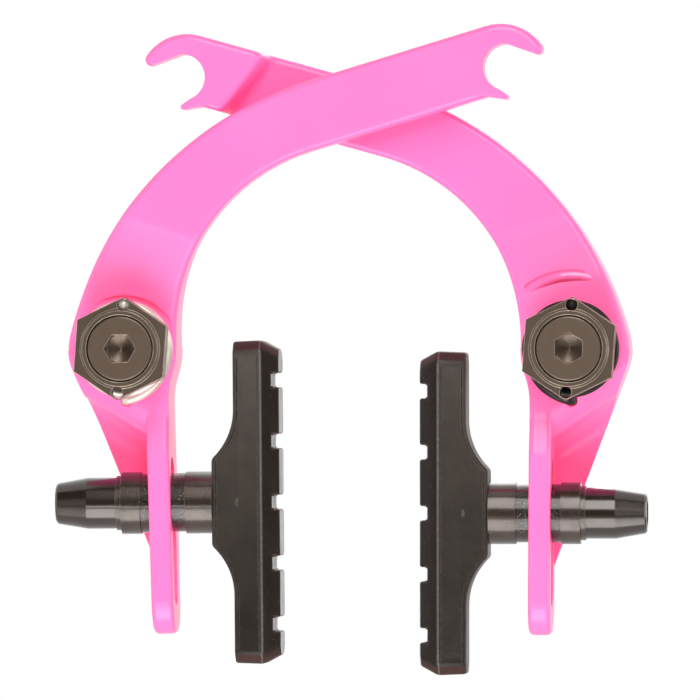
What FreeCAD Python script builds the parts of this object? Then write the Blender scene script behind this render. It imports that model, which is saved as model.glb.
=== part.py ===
import FreeCAD, Part
import math
import os
from FreeCAD import Vector

os.makedirs("parts", exist_ok=True)

# A u-brake for a small-wheeled bicycle. Two forged arms turn on two posts of the frame, cross above
# the wheel and end in hooks for the straddle cable. All sizes are in millimetres.
# Frame: the origin lies midway between the two posts, in the plane of their shoulders.
# X runs to the right, Y into the frame and Z up, so the front of the brake looks towards -Y.
# Each side is drawn about its own post with x inwards and z up, then mirrored and set in place.

# Frame posts and pivots
POST_SPACING = 82.0
POST_BORE_RADIUS = 4.55
SLEEVE_RADIUS = 5.5
BUSHING_RADIUS = 6.3
RUNNING_CLEARANCE = 0.06
THRUST_CLEARANCE = 0.3

# Lean of each arm in the pose of the picture, lower end inwards
ARM_LEAN = {"left": 1.74, "right": 0.35}

# Arm seen from the front
BOSS_RADIUS = 10.5
INNER_EDGE = 9.4
INNER_RADIUS = 35.2
OUTER_RADIUS = 64.4
BLADE_RISE = 15.2
BLADE_ABOVE = 8.25
BLADE_BELOW = 4.2
WEB_ANGLE = 20.4

# Hook at the end of the arm, round the barrel of the straddle cable
HOOK_REACH = 71.7
HOOK_HEIGHT = 49.3
HOOK_RADIUS = 4.25
FINGER_REACH = 3.2
FINGER_DROP = 7.8
FINGER_TIP = 1.2
FINGER_TIP_START = 20.0
FINGER_TIP_END = -90.0
FINGER_CURVE = -1.2
HOOK_SEAT_TOP = 72.0
HOOK_SEAT_FOOT = -128.0
LIP_END = -1.25
LIP_LOW = -5.65
LIP_TIP = 0.5
LIP_TIP_START = 40.0
LIP_TIP_END = -90.0
LIP_ROOT = 4.8

# Depth of the arm, measured forwards from the plane of the post shoulders
SPRING_SEAT = 13.0
SPOT_FACE_RADIUS = 9.8
BLADE_THICKNESS = 7.0
CROSSING_GAP = 1.0
REAR_BLADE_BACK = 2.0
REAR_JOIN = 23.7
RAMP_DIRECTION = 71.0
RAMP_START = {"left": 6.5, "right": 12.0}
RAMP_END = 23.5
RAMP_RADIUS = 9.0
JOG_DIRECTION = 36.5
JOG_BEFORE_SEAT = 10.2
JOG_LENGTH = 1.6
JOG_DEPTH = 6.0
JOG_RADIUS = 1.5
ARM_EDGE_RADIUS = 1.1

# Slotted plate and web below the pivot
PLATE_INNER = 7.65
PLATE_THICKNESS = 4.05
PLATE_FRONT = 15.5
PLATE_BOTTOM = 52.45
PLATE_CORNER = 6.0
PLATE_EASE = 10.0
PLATE_RISE_START = 12.0
PLATE_RISE = 7.0
PLATE_EDGE_RADIUS = 0.9
WEB_THICKNESS = 2.1
FAIRING_BOTTOM = 11.6
FAIRING_DIRECTION = 56.0
FAIRING_RADIUS = 5.0
SLOT_DEPTH = 9.0
SLOT_WIDTH = 6.8
SLOT_TOP = 23.5
SLOT_BOTTOM = 44.0

# Spring tension adjuster, its bolt and the torsion spring
SPRING_ROOM = 5.2
HEX_ACROSS_FLATS = 16.4
HEX_THICKNESS = 4.5
HEX_TURN = -4.0
COLLAR_RADIUS = 7.3
COLLAR_HEIGHT = 0.7
COLLAR_CHAMFER = 0.4
COUNTERBORE_RADIUS = 6.15
ADJUSTER_WEB = 1.8
SPRING_PIN_RADIUS = 8.0
PIN_HOLE_CLEARANCE = 0.15
WIRE_RADIUS = 0.95
BEND_RADIUS = 1.0
SPRING_CLEARANCE = 0.05
SPRING_HALF_TURNS = 2
TAIL_LENGTH = 4.5
TAIL_SWEEP = 80.0
TAIL_DRIFT = 1.4
TAIL_ANGLE = 270.0
TANG_LENGTH = 4.2
BOLT_RADIUS = 3.0
BOLT_LENGTH = 20.0
BOLT_NECK_RADIUS = 3.3
BOLT_HOLE_RADIUS = 3.45
BOLT_HEAD_RADIUS = 5.95
BOLT_HEAD_HEIGHT = 3.3
BOLT_HEAD_ROUND = 0.35
BOLT_SOCKET = 5.0
BOLT_SOCKET_DEPTH = 2.6
BOLT_SOCKET_POINT = 1.25
BOLT_SOCKET_TURN = {"left": 30.0, "right": 0.0}

# Pad stud, ball washers and nut
STUD_DROP = {"left": 28.4, "right": 30.1}
STUD_TILT = {"left": 1.25, "right": 0.4}
STUD_RADIUS = 3.0
STUD_HEAD_RADIUS = 4.6
STUD_HEAD_HEIGHT = 2.0
STUD_HEAD_DEPTH = 4.0
DOME_RADIUS = 5.4
DOME_HOLE_RADIUS = 3.7
INNER_DOME_RIM = 2.5
OUTER_DOME_RIM = 1.7
BALL_CLEARANCE = 0.1
CUP_RADIUS = 5.7
CUP_HOLE_RADIUS = 3.1
INNER_CUP_THICKNESS = 5.0
OUTER_CUP_THICKNESS = 3.6
FLAT_WASHER_RADIUS = 5.0
FLAT_WASHER_THICKNESS = 0.95
NUT_RADIUS = 4.7
NUT_END_RADIUS = 3.75
NUT_LENGTH = 11.2
NUT_STRAIGHT = 5.4
NUT_CHAMFER = 0.35
NUT_SOCKET = 5.0
NUT_SOCKET_DEPTH = 4.0
THREAD_CLEARANCE = 0.05

# Brake pad
PAD_LENGTH = 59.3
PAD_FACE_TO_BOSS = 12.55
PAD_FACE_TO_BACK = 8.55
PAD_FACE_TO_RIDGE = 3.3
PAD_WIDTH = 11.0
PAD_FACE_INSET = 1.3
PAD_BACK_INSET = 0.6
PAD_BACK_END_INSET = 0.2
PAD_FACE_END_INSET = 1.75
PAD_BOSS_HEIGHT = 16.0
PAD_FLARE = 9.0
PAD_CHAMFER = 1.8
GROOVE_COUNT = 5
GROOVE_WIDTH = 2.6
GROOVE_DEPTH = 1.4
GROOVE_PITCH = 11.17

# Values worked out from the driving sizes
BUSHING_BORE = SLEEVE_RADIUS + RUNNING_CLEARANCE
HEX_BACK = SPRING_SEAT + SPRING_ROOM
HEX_FRONT = HEX_BACK + HEX_THICKNESS
COLLAR_FRONT = HEX_FRONT + COLLAR_HEIGHT
REAR_BLADE_FRONT = REAR_BLADE_BACK + BLADE_THICKNESS
FRONT_BLADE_BACK = REAR_BLADE_FRONT + CROSSING_GAP
FRONT_BLADE_FRONT = FRONT_BLADE_BACK + BLADE_THICKNESS
PLATE_OUTER = PLATE_INNER - PLATE_THICKNESS
PLATE_MIDDLE = PLATE_INNER - PLATE_THICKNESS / 2
PIN_HOLE_RADIUS = WIRE_RADIUS + PIN_HOLE_CLEARANCE
COIL_RADIUS = math.sqrt(SPRING_PIN_RADIUS**2 - BEND_RADIUS**2)
BEND_ANGLE = math.degrees(math.asin(BEND_RADIUS / SPRING_PIN_RADIUS))
TAIL_REACH = COIL_RADIUS + TAIL_DRIFT
TAIL_COS = math.cos(math.radians(TAIL_SWEEP))
TAIL_SIN = math.sin(math.radians(TAIL_SWEEP))
TAIL_ACROSS = TAIL_REACH * TAIL_COS - BEND_RADIUS * TAIL_SIN - TAIL_DRIFT
TAIL_DOWN = TAIL_REACH * TAIL_SIN + BEND_RADIUS * TAIL_COS
TAIL_RADIUS = math.hypot(TAIL_ACROSS, TAIL_DOWN)
TAIL_TURN = math.degrees(math.atan2(-TAIL_DOWN, TAIL_ACROSS))
WEB_FRONT = THRUST_CLEARANCE + WEB_THICKNESS
INNER_CUP_FRONT = PLATE_INNER + INNER_DOME_RIM
PAD_BOSS_FACE = INNER_CUP_FRONT + INNER_CUP_THICKNESS
PAD_FACE = PAD_BOSS_FACE + PAD_FACE_TO_BOSS
OUTER_CUP_FRONT = PLATE_OUTER - OUTER_DOME_RIM
FLAT_WASHER_FACE = OUTER_CUP_FRONT - OUTER_CUP_THICKNESS
NUT_FACE = FLAT_WASHER_FACE - FLAT_WASHER_THICKNESS
NUT_END = NUT_FACE - NUT_LENGTH
FAR = 200.0
OVERCUT = 1.0
SAME_POINT = 1e-6
SHARP_BEND = 35.0
STEEP = 0.9
ALONG_X = Vector(1, 0, 0)
ALONG_Y = Vector(0, 1, 0)
ALONG_Z = Vector(0, 0, 1)
ORIGIN = Vector(0, 0, 0)


def polar(radius, degrees):
    """A point in the plane of the arms, by its distance and angle from the post."""
    angle = math.radians(degrees)
    return Vector(radius * math.cos(angle), 0, radius * math.sin(angle))


class Outline:
    """A closed outline made of lines and arcs, one after another."""

    def __init__(self, start):
        self.points = [start]
        self.edges = []

    def line(self, end):
        if end.isEqual(self.points[-1], SAME_POINT):
            return
        self.edges.append(Part.LineSegment(self.points[-1], end).toShape())
        self.points.append(end)

    def arc(self, middle, end):
        self.edges.append(Part.Arc(self.points[-1], middle, end).toShape())
        self.points.append(end)

    def face(self):
        self.line(self.points[0])
        return Part.Face(Part.Wire(self.edges))


def rounded_face(corners, place):
    """A face through corners (a, b, radius), each eased by an arc. place turns (a, b) into a point."""
    arcs = []
    for index, (a, b, radius) in enumerate(corners):
        here = place(a, b)
        before = place(*corners[index - 1][:2]) - here
        after = place(*corners[(index + 1) % len(corners)][:2]) - here
        before.normalize()
        after.normalize()
        half = before.getAngle(after) / 2
        reach = radius / math.tan(half)
        inward = before + after
        inward.normalize()
        middle = here + inward * (radius / math.sin(half) - radius)
        arcs.append((here + before * reach, middle, here + after * reach))
    outline = Outline(arcs[0][2])
    for start, middle, end in arcs[1:] + arcs[:1]:
        outline.line(start)
        if not end.isEqual(start, SAME_POINT):
            outline.arc(middle, end)
    return outline.face()


def cylinder(radius, front, back, x=0.0, z=0.0):
    """A cylinder along Y between two depths in front of the post shoulders."""
    return Part.makeCylinder(radius, front - back, Vector(x, -front, z), ALONG_Y)


def disc(radius, start, end, drop):
    """A cylinder along X, round the stud's axis."""
    return Part.makeCylinder(radius, end - start, Vector(start, -SLOT_DEPTH, -drop), ALONG_X)


def hexagon(across_flats, front, back, turn):
    """A hexagonal prism along Y with a corner at the top, turned by some degrees."""
    corners = [polar(across_flats / math.sqrt(3), 90 + turn + 60 * k) for k in range(7)]
    prism = Part.Face(Part.makePolygon(corners)).extrude(ALONG_Y * (front - back))
    prism.translate(ALONG_Y * -front)
    return prism


def sharp_edges(shape, keep):
    """The edges where two faces meet at a clear angle and keep(middle, direction) is true."""
    found = []
    for edge in shape.Edges:
        faces = shape.ancestorsOfType(edge, Part.Face)
        if len(faces) != 2:
            continue
        parameter = (edge.FirstParameter + edge.LastParameter) / 2
        middle = edge.valueAt(parameter)
        normals = [face.normalAt(*face.Surface.parameter(middle)) for face in faces]
        bend = math.degrees(normals[0].getAngle(normals[1]))
        if bend > SHARP_BEND and keep(middle, edge.tangentAt(parameter)):
            found.append(edge)
    return found


def blade_point(along, across):
    """A point in the straight blade's own directions, from the centre of the hook's seat."""
    rise = math.radians(BLADE_RISE)
    x = HOOK_REACH + along * math.cos(rise) - across * math.sin(rise)
    z = HOOK_HEIGHT + along * math.sin(rise) + across * math.cos(rise)
    return Vector(x, 0, z)


def outer_arc_centre():
    """Centre of the arm's outer curve, which meets the blade's top edge and wraps round the boss."""
    base = blade_point(0, BLADE_ABOVE - OUTER_RADIUS)
    direction = blade_point(1, 0) - blade_point(0, 0)
    reach = base.dot(direction)
    spread = reach**2 - base.dot(base) + (OUTER_RADIUS - BOSS_RADIUS) ** 2
    return base + direction * (math.sqrt(spread) - reach)


def inner_arc_centre():
    """Centre of the arm's inner curve, between its inner edge and the blade's lower edge."""
    rise = math.radians(BLADE_RISE)
    x = INNER_EDGE + INNER_RADIUS
    across = -BLADE_BELOW - INNER_RADIUS
    z = HOOK_HEIGHT + (across + (x - HOOK_REACH) * math.sin(rise)) / math.cos(rise)
    return Vector(x, 0, z)


def arc_middle(centre, start, end):
    """The point halfway along the shorter arc round a centre."""
    inward = (start - centre) + (end - centre)
    inward.normalize()
    return centre + inward * centre.distanceToPoint(start)


def upper_outline():
    """The arm above the pivot, seen from the front: boss, curve, straight blade and open hook."""
    normal = blade_point(0, 1) - blade_point(0, 0)
    outer_centre = outer_arc_centre()
    inner_centre = inner_arc_centre()
    boss_start = Vector(-BOSS_RADIUS, 0, 0)
    outward = outer_centre * -1
    outward.normalize()
    boss_end = outward * BOSS_RADIUS
    outer_end = outer_centre + normal * OUTER_RADIUS
    inner_start = inner_centre + normal * INNER_RADIUS
    inner_end = inner_centre - ALONG_X * INNER_RADIUS
    outline = Outline(boss_start)
    outline.arc(arc_middle(ORIGIN, boss_start, boss_end), boss_end)
    outline.arc(arc_middle(outer_centre, boss_end, outer_end), outer_end)
    tip_along = HOOK_RADIUS + FINGER_REACH - FINGER_TIP
    tip_across = BLADE_ABOVE - FINGER_DROP + FINGER_TIP
    tip_start = polar(FINGER_TIP, FINGER_TIP_START)
    tip_middle = polar(FINGER_TIP, (FINGER_TIP_START + FINGER_TIP_END) / 2)
    tip_end = polar(FINGER_TIP, FINGER_TIP_END)
    finger_run = tip_along + tip_start.x - FINGER_CURVE
    finger_fall = BLADE_ABOVE - tip_across - tip_start.z
    finger_radius = (finger_run**2 + finger_fall**2) / (2 * finger_fall)
    finger_centre = blade_point(FINGER_CURVE, BLADE_ABOVE - finger_radius)
    finger_start = blade_point(FINGER_CURVE, BLADE_ABOVE)
    finger_end = blade_point(FINGER_CURVE + finger_run, BLADE_ABOVE - finger_fall)
    seat_top = polar(HOOK_RADIUS, HOOK_SEAT_TOP)
    seat_end = polar(HOOK_RADIUS, HOOK_SEAT_FOOT)
    lip_along = LIP_END - LIP_TIP
    lip_across = LIP_LOW + LIP_TIP
    lip_start = polar(LIP_TIP, LIP_TIP_START)
    lip_middle = polar(LIP_TIP, (LIP_TIP_START + LIP_TIP_END) / 2)
    lip_end = polar(LIP_TIP, LIP_TIP_END)
    outline.line(finger_start)
    outline.arc(arc_middle(finger_centre, finger_start, finger_end), finger_end)
    outline.arc(
        blade_point(tip_along + tip_middle.x, tip_across + tip_middle.z),
        blade_point(tip_along + tip_end.x, tip_across + tip_end.z),
    )
    outline.line(blade_point(seat_top.x, seat_top.z))
    outline.arc(blade_point(-HOOK_RADIUS, 0), blade_point(seat_end.x, seat_end.z))
    outline.line(blade_point(lip_along + lip_start.x, lip_across + lip_start.z))
    outline.arc(
        blade_point(lip_along + lip_middle.x, lip_across + lip_middle.z),
        blade_point(lip_along + lip_end.x, lip_across + lip_end.z),
    )
    outline.line(blade_point(-LIP_ROOT, -BLADE_BELOW))
    outline.line(inner_start)
    outline.arc(arc_middle(inner_centre, inner_start, inner_end), inner_end)
    outline.line(Vector(INNER_EDGE, 0, 0))
    return outline.face()


def lower_outline():
    """The arm below the pivot, seen from the front: half the boss and the web down to the plate."""
    boss_start = Vector(-BOSS_RADIUS, 0, 0)
    web_start = polar(BOSS_RADIUS, 180 + WEB_ANGLE)
    web_length = (PLATE_OUTER - web_start.x) / math.sin(math.radians(WEB_ANGLE))
    foot = web_start.z - web_length * math.cos(math.radians(WEB_ANGLE))
    step = (INNER_EDGE - PLATE_INNER) / 8
    fall = PLATE_EASE / 4
    outline = Outline(boss_start)
    outline.arc(polar(BOSS_RADIUS, 180 + WEB_ANGLE / 2), web_start)
    outline.line(Vector(PLATE_OUTER, 0, foot))
    outline.line(Vector(PLATE_INNER, 0, foot))
    outline.line(Vector(PLATE_INNER, 0, -PLATE_EASE))
    outline.arc(Vector(PLATE_INNER + step, 0, -3 * fall), Vector(PLATE_INNER + 4 * step, 0, -2 * fall))
    outline.arc(Vector(INNER_EDGE - step, 0, -fall), Vector(INNER_EDGE, 0, 0))
    return outline.face()


def depth_prism(corners, degrees):
    """A prism through the arm's depth, from corners (distance, depth, radius) along a direction."""
    along = polar(1, degrees)
    across = polar(1, degrees + 90)
    start = across * -FAR
    face = rounded_face(corners, lambda distance, depth: start + along * distance - ALONG_Y * depth)
    return face.extrude(across * 2 * FAR)


def ramp_profile(start, front, back):
    """Depth of an arm from its boss, over the ramp, out to its blade."""
    return [
        (-FAR, THRUST_CLEARANCE, 0),
        (-FAR, SPRING_SEAT, 0),
        (start, SPRING_SEAT, RAMP_RADIUS),
        (RAMP_END, front, RAMP_RADIUS),
        (FAR, front, 0),
        (FAR, back, 0),
        (RAMP_END, back, RAMP_RADIUS),
        (start, THRUST_CLEARANCE, RAMP_RADIUS),
    ]


def jog_profile():
    """Depth of the rear arm's end, which steps forwards to bring its hook in line with the other."""
    seat = Vector(HOOK_REACH, 0, HOOK_HEIGHT).dot(polar(1, JOG_DIRECTION))
    start = seat - JOG_BEFORE_SEAT - JOG_LENGTH / 2
    end = start + JOG_LENGTH
    return [
        (-FAR, REAR_BLADE_BACK, 0),
        (-FAR, REAR_BLADE_FRONT, 0),
        (start, REAR_BLADE_FRONT, JOG_RADIUS),
        (end, REAR_BLADE_FRONT + JOG_DEPTH, JOG_RADIUS),
        (FAR, REAR_BLADE_FRONT + JOG_DEPTH, 0),
        (FAR, REAR_BLADE_BACK + JOG_DEPTH, 0),
        (end, REAR_BLADE_BACK + JOG_DEPTH, JOG_RADIUS),
        (start, REAR_BLADE_BACK, JOG_RADIUS),
    ]


def in_hook(point):
    """True on the hook's lip, seat and the underside of its finger, whose edges stay crisp."""
    seat = blade_point(0, 0)
    along = (point - seat).dot(blade_point(1, 0) - seat)
    across = (point - seat).dot(blade_point(0, 1) - seat)
    return abs(along + FINGER_REACH / 2) < HOOK_RADIUS + FINGER_REACH and across < BLADE_ABOVE / 2


def softened(middle, along):
    """True on an edge of the upper arm that has a radius: one that runs round the outline."""
    return middle.z > SAME_POINT and abs(along.y) < STEEP and not in_hook(middle)


def upper_arm(side):
    """Boss, ramp, blade and hook, with softened edges."""
    prism = upper_outline().extrude(ALONG_Y * -FAR)
    if side == "left":
        profile = ramp_profile(RAMP_START[side], FRONT_BLADE_FRONT, FRONT_BLADE_BACK)
        arm = prism.common(depth_prism(profile, RAMP_DIRECTION))
    else:
        profile = ramp_profile(RAMP_START[side], REAR_BLADE_FRONT, REAR_BLADE_BACK)
        cut = blade_point(-REAR_JOIN, 0).dot(polar(1, RAMP_DIRECTION))
        slab = [(cut, -FAR, 0), (cut, FAR, 0), (2 * FAR, FAR, 0), (2 * FAR, -FAR, 0)]
        outer_half = depth_prism(slab, RAMP_DIRECTION)
        root = prism.common(depth_prism(profile, RAMP_DIRECTION)).cut(outer_half)
        end = prism.common(depth_prism(jog_profile(), JOG_DIRECTION)).common(outer_half)
        arm = root.fuse(end).removeSplitter()
    edges = sharp_edges(arm, softened)
    return arm.makeFillet(ARM_EDGE_RADIUS, edges)


def lower_arm():
    """The lower half of the boss, the web behind the washers and the slotted plate."""
    web_prism = lower_outline().extrude(ALONG_Y * -FAR)
    profile = [
        (FAR, THRUST_CLEARANCE, 0),
        (FAR, SPRING_SEAT, 0),
        (-FAIRING_BOTTOM, SPRING_SEAT, FAIRING_RADIUS),
        (-FAIRING_BOTTOM, WEB_FRONT, FAIRING_RADIUS),
        (-FAR, WEB_FRONT, 0),
        (-FAR, THRUST_CLEARANCE, 0),
    ]
    web = web_prism.common(depth_prism(profile, FAIRING_DIRECTION))
    corners = [
        (-PLATE_EASE / 2, THRUST_CLEARANCE, 0),
        (-PLATE_EASE / 2, SPRING_SEAT, 0),
        (-PLATE_RISE_START, SPRING_SEAT, PLATE_CORNER),
        (-PLATE_RISE_START - PLATE_RISE, PLATE_FRONT, PLATE_CORNER),
        (-PLATE_BOTTOM, PLATE_FRONT, PLATE_CORNER),
        (-PLATE_BOTTOM, THRUST_CLEARANCE, PLATE_CORNER),
    ]
    face = rounded_face(corners, lambda z, depth: Vector(PLATE_OUTER, -depth, z))
    plate = face.extrude(ALONG_X * PLATE_THICKNESS)
    edges = sharp_edges(plate, lambda middle, along: middle.z < -PLATE_EASE and abs(along.x) < STEEP)
    plate = plate.makeFillet(PLATE_EDGE_RADIUS, edges)
    return web.fuse(plate)


def slot_cut():
    """The upright slot that the stud slides in."""
    radius = SLOT_WIDTH / 2
    corners = [
        (SLOT_DEPTH - radius, -SLOT_TOP + radius, radius),
        (SLOT_DEPTH + radius, -SLOT_TOP + radius, radius),
        (SLOT_DEPTH + radius, -SLOT_BOTTOM - radius, radius),
        (SLOT_DEPTH - radius, -SLOT_BOTTOM - radius, radius),
    ]
    face = rounded_face(corners, lambda depth, z: Vector(PLATE_OUTER - OVERCUT, -depth, z))
    return face.extrude(ALONG_X * (PLATE_THICKNESS + 2 * OVERCUT))


def arm(side):
    """One forged arm with its bored boss, spring seat, spring hole and slot."""
    shape = upper_arm(side).fuse(lower_arm())
    shape = shape.cut(cylinder(SPOT_FACE_RADIUS, FAR, SPRING_SEAT))
    shape = shape.cut(cylinder(BUSHING_RADIUS, FAR, -FAR))
    hole = polar(TAIL_RADIUS, TAIL_ANGLE)
    hole_bottom = SPRING_SEAT - TAIL_LENGTH - WIRE_RADIUS
    shape = shape.cut(cylinder(PIN_HOLE_RADIUS, FAR, hole_bottom, hole.x, hole.z))
    return shape.cut(slot_cut()).removeSplitter()


def bushing():
    """The plain bearing pressed into the arm."""
    outside = cylinder(BUSHING_RADIUS, SPRING_SEAT, THRUST_CLEARANCE)
    return outside.cut(cylinder(BUSHING_BORE, FAR, -FAR))


def pivot_sleeve():
    """The steel tube that slides over the frame's post and carries the bushing."""
    return cylinder(SLEEVE_RADIUS, HEX_BACK, 0).cut(cylinder(POST_BORE_RADIUS, FAR, -FAR))


def front_rim(shape, depth):
    """The edges round the front face of a turned shape."""
    return [edge for edge in shape.Edges if abs(edge.CenterOfMass.y + depth) < SAME_POINT]


def spring_adjuster():
    """The hexagonal adjuster: collar, counterbore for the bolt head and two holes for the spring."""
    body = hexagon(HEX_ACROSS_FLATS, HEX_FRONT, HEX_BACK, HEX_TURN)
    collar = cylinder(COLLAR_RADIUS, COLLAR_FRONT, HEX_BACK)
    body = body.fuse(collar.makeChamfer(COLLAR_CHAMFER, front_rim(collar, COLLAR_FRONT)))
    body = body.cut(cylinder(COUNTERBORE_RADIUS, FAR, HEX_BACK + ADJUSTER_WEB))
    body = body.cut(cylinder(BOLT_HOLE_RADIUS, FAR, -FAR))
    for angle in (90 + HEX_TURN, 270 + HEX_TURN):
        centre = polar(SPRING_PIN_RADIUS, angle)
        body = body.cut(cylinder(PIN_HOLE_RADIUS, FAR, -FAR, centre.x, centre.z))
    return body


def pivot_bolt(side):
    """The button-headed bolt that clamps the adjuster onto the sleeve and screws into the post."""
    seat = HEX_BACK + ADJUSTER_WEB
    top = seat + BOLT_HEAD_HEIGHT
    head = cylinder(BOLT_HEAD_RADIUS, top, seat)
    head = head.makeFillet(BOLT_HEAD_ROUND, front_rim(head, top))
    neck = cylinder(BOLT_NECK_RADIUS, seat, HEX_BACK)
    thread = cylinder(BOLT_RADIUS, HEX_BACK, seat - BOLT_LENGTH)
    socket_floor = ALONG_Y * (BOLT_SOCKET_DEPTH - top)
    socket = hexagon(BOLT_SOCKET, FAR, top - BOLT_SOCKET_DEPTH, BOLT_SOCKET_TURN[side])
    drill_point = Part.makeCone(BOLT_SOCKET / 2, 0, BOLT_SOCKET_POINT, socket_floor, ALONG_Y)
    return head.fuse(neck).fuse(thread).removeSplitter().cut(socket).cut(drill_point)


def spring_end(outward, length):
    """A bend and a straight end of spring wire, for a coil about Z that stops on the X axis."""
    start = ALONG_X * COIL_RADIUS
    bend = wire_section(start).revolve(start + outward * BEND_RADIUS, ALONG_X, 90)
    foot = start + outward * BEND_RADIUS + ALONG_Y * (outward.z * BEND_RADIUS)
    return bend.fuse(Part.makeCylinder(WIRE_RADIUS, length, foot, outward))


def wire_section(centre):
    """A round face of spring wire, square to Y."""
    return Part.Face(Part.Wire(Part.makeCircle(WIRE_RADIUS, centre, ALONG_Y)))


def spring(side):
    """The torsion spring: two level arcs joined by half turns that climb, with both ends bent over."""
    front = HEX_BACK - SPRING_CLEARANCE - BEND_RADIUS
    back = SPRING_SEAT + SPRING_CLEARANCE + BEND_RADIUS
    step = (front - back) / SPRING_HALF_TURNS
    tang_angle = 90 + HEX_TURN if side == "left" else 90 - HEX_TURN
    level_sweep = (tang_angle - BEND_ANGLE + TAIL_TURN - TAIL_ANGLE - ARM_LEAN[side]) % 360
    tail_centre = ALONG_X * -TAIL_DRIFT
    shape = wire_section(ALONG_X * COIL_RADIUS).revolve(tail_centre, ALONG_Z * -1, TAIL_SWEEP)
    tail = spring_end(ALONG_Z * -1, TAIL_LENGTH)
    tail.rotate(tail_centre, ALONG_Z, -TAIL_SWEEP)
    shape = shape.fuse(tail)
    for index in range(SPRING_HALF_TURNS):
        toward = 1 if index % 2 == 0 else -1
        start = Vector(toward * COIL_RADIUS, 0, index * step)
        middle = ALONG_Z * ((index + 0.5) * step)
        axis = Vector(toward * step, 0, 2 * COIL_RADIUS)
        shape = shape.fuse(wire_section(start).revolve(middle, axis, 180))
    level = wire_section(ALONG_X * COIL_RADIUS).revolve(ORIGIN, ALONG_Z, level_sweep)
    tang = spring_end(ALONG_Z, TANG_LENGTH)
    tang.rotate(ORIGIN, ALONG_Z, level_sweep)
    top = level.fuse(tang)
    top.rotate(ORIGIN, ALONG_Z, 180 * SPRING_HALF_TURNS)
    top.translate(ALONG_Z * (front - back))
    shape = shape.fuse(top)
    shape.rotate(ORIGIN, ALONG_Z, tang_angle - BEND_ANGLE - level_sweep)
    shape.rotate(ORIGIN, ALONG_X, 90)
    if side == "right":
        shape = shape.mirror(ORIGIN, ALONG_X)
    shape.translate(ALONG_Y * -back)
    return shape


def ball_radius(rim):
    """Radius of the ball faces, whose centre lies in the middle of the plate."""
    return math.hypot(PLATE_THICKNESS / 2 + rim, DOME_RADIUS)


def ball(radius, drop):
    """A ball about the point where the stud crosses the middle of the plate."""
    return Part.makeSphere(radius, Vector(PLATE_MIDDLE, -SLOT_DEPTH, -drop))


def dome_washer(drop, inner):
    """The domed washer that lies flat on the plate."""
    rim = INNER_DOME_RIM if inner else OUTER_DOME_RIM
    start = PLATE_INNER if inner else PLATE_OUTER - DOME_RADIUS
    end = start + DOME_RADIUS
    shape = disc(DOME_RADIUS, start, end, drop).common(ball(ball_radius(rim), drop))
    return shape.cut(disc(DOME_HOLE_RADIUS, start - OVERCUT, end + OVERCUT, drop))


def cup_washer(drop, inner):
    """The hollow washer that tilts on a domed one."""
    rim = INNER_DOME_RIM if inner else OUTER_DOME_RIM
    start = INNER_CUP_FRONT if inner else FLAT_WASHER_FACE
    end = PAD_BOSS_FACE if inner else OUTER_CUP_FRONT
    shape = disc(CUP_RADIUS, start, end, drop).cut(ball(ball_radius(rim) + BALL_CLEARANCE, drop))
    return shape.cut(disc(CUP_HOLE_RADIUS, start - OVERCUT, end + OVERCUT, drop))


def flat_washer(drop):
    """The flat washer under the nut."""
    outside = disc(FLAT_WASHER_RADIUS, NUT_FACE, FLAT_WASHER_FACE, drop)
    return outside.cut(disc(CUP_HOLE_RADIUS, NUT_FACE - OVERCUT, FLAT_WASHER_FACE + OVERCUT, drop))


def pad_nut(drop):
    """The tapered barrel nut, with a hexagon socket in its end."""
    bore = STUD_RADIUS + THREAD_CLEARANCE
    bore_end = NUT_END + NUT_SOCKET_DEPTH
    outline = Outline(Vector(NUT_FACE, 0, bore))
    outline.line(Vector(NUT_FACE, 0, NUT_RADIUS))
    outline.line(Vector(NUT_FACE - NUT_STRAIGHT, 0, NUT_RADIUS))
    outline.line(Vector(NUT_END + NUT_CHAMFER, 0, NUT_END_RADIUS))
    outline.line(Vector(NUT_END, 0, NUT_END_RADIUS - NUT_CHAMFER))
    outline.line(Vector(NUT_END, 0, 0))
    outline.line(Vector(bore_end, 0, 0))
    outline.line(Vector(bore_end, 0, bore))
    shape = outline.face().revolve(ORIGIN, ALONG_X, 360)
    socket = hexagon(NUT_SOCKET, NUT_SOCKET_DEPTH + OVERCUT, 0, 0)
    socket.rotate(ORIGIN, ALONG_Z, 90)
    socket.translate(ALONG_X * (NUT_END - OVERCUT))
    shape = shape.cut(socket)
    shape.translate(Vector(0, -SLOT_DEPTH, -drop))
    return shape


def pad_stud(drop):
    """The threaded stud, with its head moulded into the pad."""
    head_back = PAD_BOSS_FACE + STUD_HEAD_DEPTH
    head = disc(STUD_HEAD_RADIUS, head_back, head_back + STUD_HEAD_HEIGHT, drop)
    return head.fuse(disc(STUD_RADIUS, NUT_END + NUT_SOCKET_DEPTH + THREAD_CLEARANCE, head_back, drop))


def pad_section(half_length, half_width, x):
    """A rectangle with cut corners across the pad at one distance from the post."""
    corners = []
    for y, z in ((-1, -1), (1, -1), (1, 1), (-1, 1)):
        side_corner = Vector(x, y * half_width, z * (half_length - PAD_CHAMFER))
        end_corner = Vector(x, y * (half_width - PAD_CHAMFER), z * half_length)
        corners += [side_corner, end_corner] if y * z > 0 else [end_corner, side_corner]
    return Part.makePolygon(corners + corners[:1])


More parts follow.
